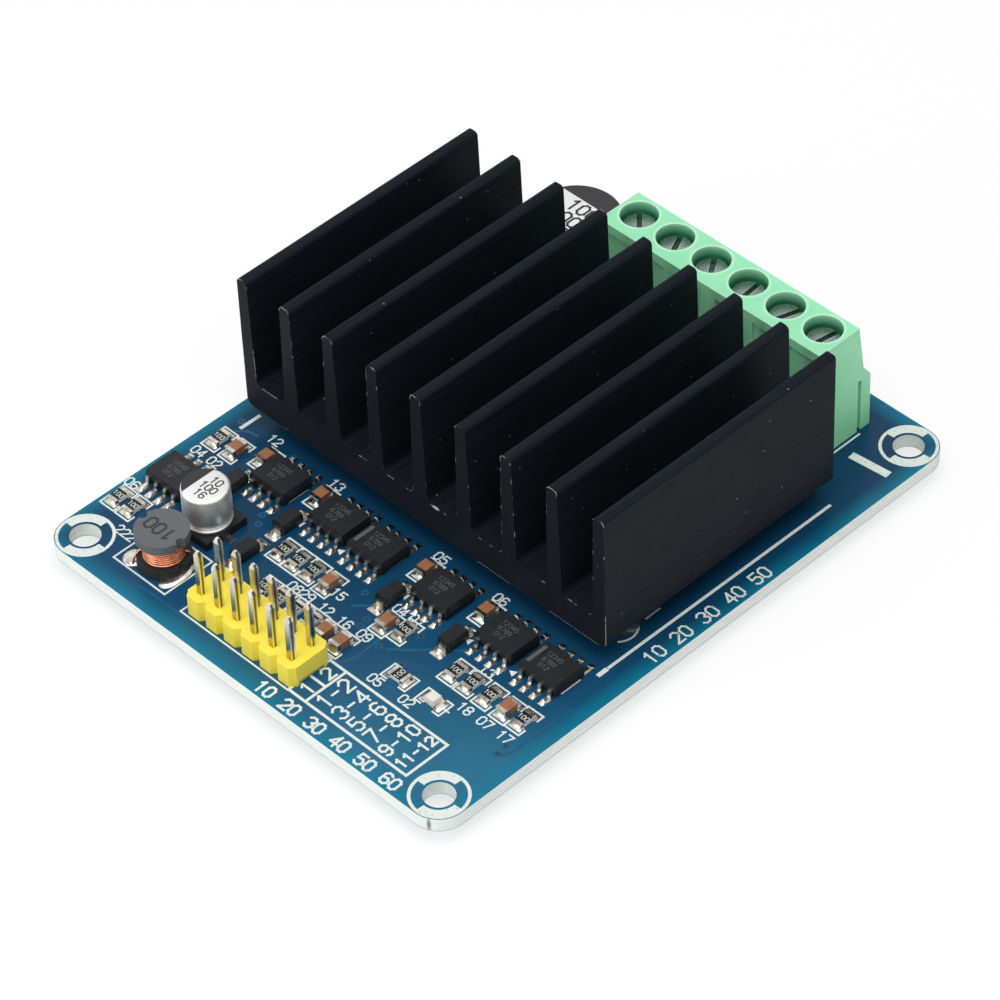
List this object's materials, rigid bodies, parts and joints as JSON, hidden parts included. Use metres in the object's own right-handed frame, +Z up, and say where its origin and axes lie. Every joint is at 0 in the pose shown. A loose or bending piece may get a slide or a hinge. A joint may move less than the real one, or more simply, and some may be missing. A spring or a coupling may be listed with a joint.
{
  "type": "dc motor driver module",
  "caption": "Blue circuit board with a black finned heatsink, green screw terminals and a yellow pin header, which switches current to DC motors.",
  "frame": {"origin": "centre of the four corner holes, on the board's underside", "axes": "+X along the heatsink's fins from the pin header to the screw terminals, +Y along the header's rows towards the capacitors' side, +Z up out of the board's parts side"},
  "size_m": [0.071, 0.056, 0.0225],
  "materials": {
    "blue_board": "glossy blue solder mask over glass-epoxy",
    "black_aluminium": "black anodised extrusion",
    "grey_silicone": "soft matte sheet",
    "zinc_steel": "zinc-plated, turned",
    "green_polyamide": "moulded, satin",
    "tinned_metal": "bright tin plating",
    "yellow_polyamide": "moulded, satin",
    "black_epoxy": "fine matte moulding",
    "white_alumina": "sintered, with a black glaze on top",
    "brown_ceramic": "sintered, satin",
    "pale_lens": "clear-to-milky resin",
    "grey_ferrite": "sintered, fine grain",
    "enamelled_copper": "enamelled wire",
    "can_aluminium": "drawn, satin",
    "black_foot_plastic": "moulded, matte"
  },
  "bodies": {
    "module": {"boost_converter_body": "black_epoxy", "boost_converter_leads": "tinned_metal", "chip_capacitors": "brown_ceramic", "chip_end_caps": "tinned_metal", "chip_resistors": "white_alumina", "circuit_board": "blue_board", "comparator_1_body": "black_epoxy", "comparator_1_leads": "tinned_metal", "comparator_2_body": "black_epoxy", "comparator_2_leads": "tinned_metal", "diode_bodies": "black_epoxy", "diode_tabs": "tinned_metal", "gate_driver_1_body": "black_epoxy", "gate_driver_1_leads": "tinned_metal", "gate_driver_2_body": "black_epoxy", "gate_driver_2_leads": "tinned_metal", "gate_driver_3_body": "black_epoxy", "gate_driver_3_leads": "tinned_metal", "gate_driver_4_body": "black_epoxy", "gate_driver_4_leads": "tinned_metal", "header_insulator": "yellow_polyamide", "header_pins": "tinned_metal", "heatsink": "black_aluminium", "heatsink_screws": "zinc_steel", "indicator_lamp": "pale_lens", "indicator_lamp_ends": "tinned_metal", "inductor_core": "grey_ferrite", "inductor_winding": "enamelled_copper", "large_capacitor_can": "can_aluminium", "large_capacitor_foot": "black_foot_plastic", "large_capacitor_leads": "tinned_metal", "power_transistor_body_1": "black_epoxy", "power_transistor_body_2": "black_epoxy", "power_transistor_body_3": "black_epoxy", "power_transistor_body_4": "black_epoxy", "power_transistor_body_5": "black_epoxy", "power_transistor_body_6": "black_epoxy", "power_transistor_body_7": "black_epoxy", "power_transistor_body_8": "black_epoxy", "power_transistor_metal": "tinned_metal", "small_capacitor_can": "can_aluminium", "small_capacitor_foot": "black_foot_plastic", "small_capacitor_leads": "tinned_metal", "terminal_housing": "green_polyamide", "terminal_pins": "tinned_metal", "thermal_pad": "grey_silicone"},
    "screw_1": {"terminal_screw_1": "zinc_steel"},
    "clamp_1": {"wire_clamp_1": "zinc_steel"},
    "screw_2": {"terminal_screw_2": "zinc_steel"},
    "clamp_2": {"wire_clamp_2": "zinc_steel"},
    "screw_3": {"terminal_screw_3": "zinc_steel"},
    "clamp_3": {"wire_clamp_3": "zinc_steel"},
    "screw_4": {"terminal_screw_4": "zinc_steel"},
    "clamp_4": {"wire_clamp_4": "zinc_steel"},
    "screw_5": {"terminal_screw_5": "zinc_steel"},
    "clamp_5": {"wire_clamp_5": "zinc_steel"},
    "screw_6": {"terminal_screw_6": "zinc_steel"},
    "clamp_6": {"wire_clamp_6": "zinc_steel"}
  },
  "joints": [
    {"name": "screw_1_turn", "type": "hinge", "parent": "module", "child": "screw_1", "pos_m": [0.0279, 0.0077, 0.0125], "axis": [0, 0, 1], "range_deg": [-1621, 0]},
    {"name": "clamp_1_rise", "type": "slide", "parent": "module", "child": "clamp_1", "axis": [0, 0, 1], "range_m": [0, 0.00202]},
    {"name": "screw_2_turn", "type": "hinge", "parent": "module", "child": "screw_2", "pos_m": [0.0279, 0.0027, 0.0125], "axis": [0, 0, 1], "range_deg": [-1621, 0]},
    {"name": "clamp_2_rise", "type": "slide", "parent": "module", "child": "clamp_2", "axis": [0, 0, 1], "range_m": [0, 0.00202]},
    {"name": "screw_3_turn", "type": "hinge", "parent": "module", "child": "screw_3", "pos_m": [0.0279, -0.0023, 0.0125], "axis": [0, 0, 1], "range_deg": [-1621, 0]},
    {"name": "clamp_3_rise", "type": "slide", "parent": "module", "child": "clamp_3", "axis": [0, 0, 1], "range_m": [0, 0.00202]},
    {"name": "screw_4_turn", "type": "hinge", "parent": "module", "child": "screw_4", "pos_m": [0.0279, -0.0073, 0.0125], "axis": [0, 0, 1], "range_deg": [-1621, 0]},
    {"name": "clamp_4_rise", "type": "slide", "parent": "module", "child": "clamp_4", "axis": [0, 0, 1], "range_m": [0, 0.00202]},
    {"name": "screw_5_turn", "type": "hinge", "parent": "module", "child": "screw_5", "pos_m": [0.0279, -0.0123, 0.0125], "axis": [0, 0, 1], "range_deg": [-1621, 0]},
    {"name": "clamp_5_rise", "type": "slide", "parent": "module", "child": "clamp_5", "axis": [0, 0, 1], "range_m": [0, 0.00202]},
    {"name": "screw_6_turn", "type": "hinge", "parent": "module", "child": "screw_6", "pos_m": [0.0279, -0.0173, 0.0125], "axis": [0, 0, 1], "range_deg": [-1621, 0]},
    {"name": "clamp_6_rise", "type": "slide", "parent": "module", "child": "clamp_6", "axis": [0, 0, 1], "range_m": [0, 0.00202]}
  ],
  "couplings": [
    {"joint": "screw_1_turn", "follows": "clamp_1_rise", "rad_per_m": -13963},
    {"joint": "screw_2_turn", "follows": "clamp_2_rise", "rad_per_m": -13963},
    {"joint": "screw_3_turn", "follows": "clamp_3_rise", "rad_per_m": -13963},
    {"joint": "screw_4_turn", "follows": "clamp_4_rise", "rad_per_m": -13963},
    {"joint": "screw_5_turn", "follows": "clamp_5_rise", "rad_per_m": -13963},
    {"joint": "screw_6_turn", "follows": "clamp_6_rise", "rad_per_m": -13963}
  ]
}
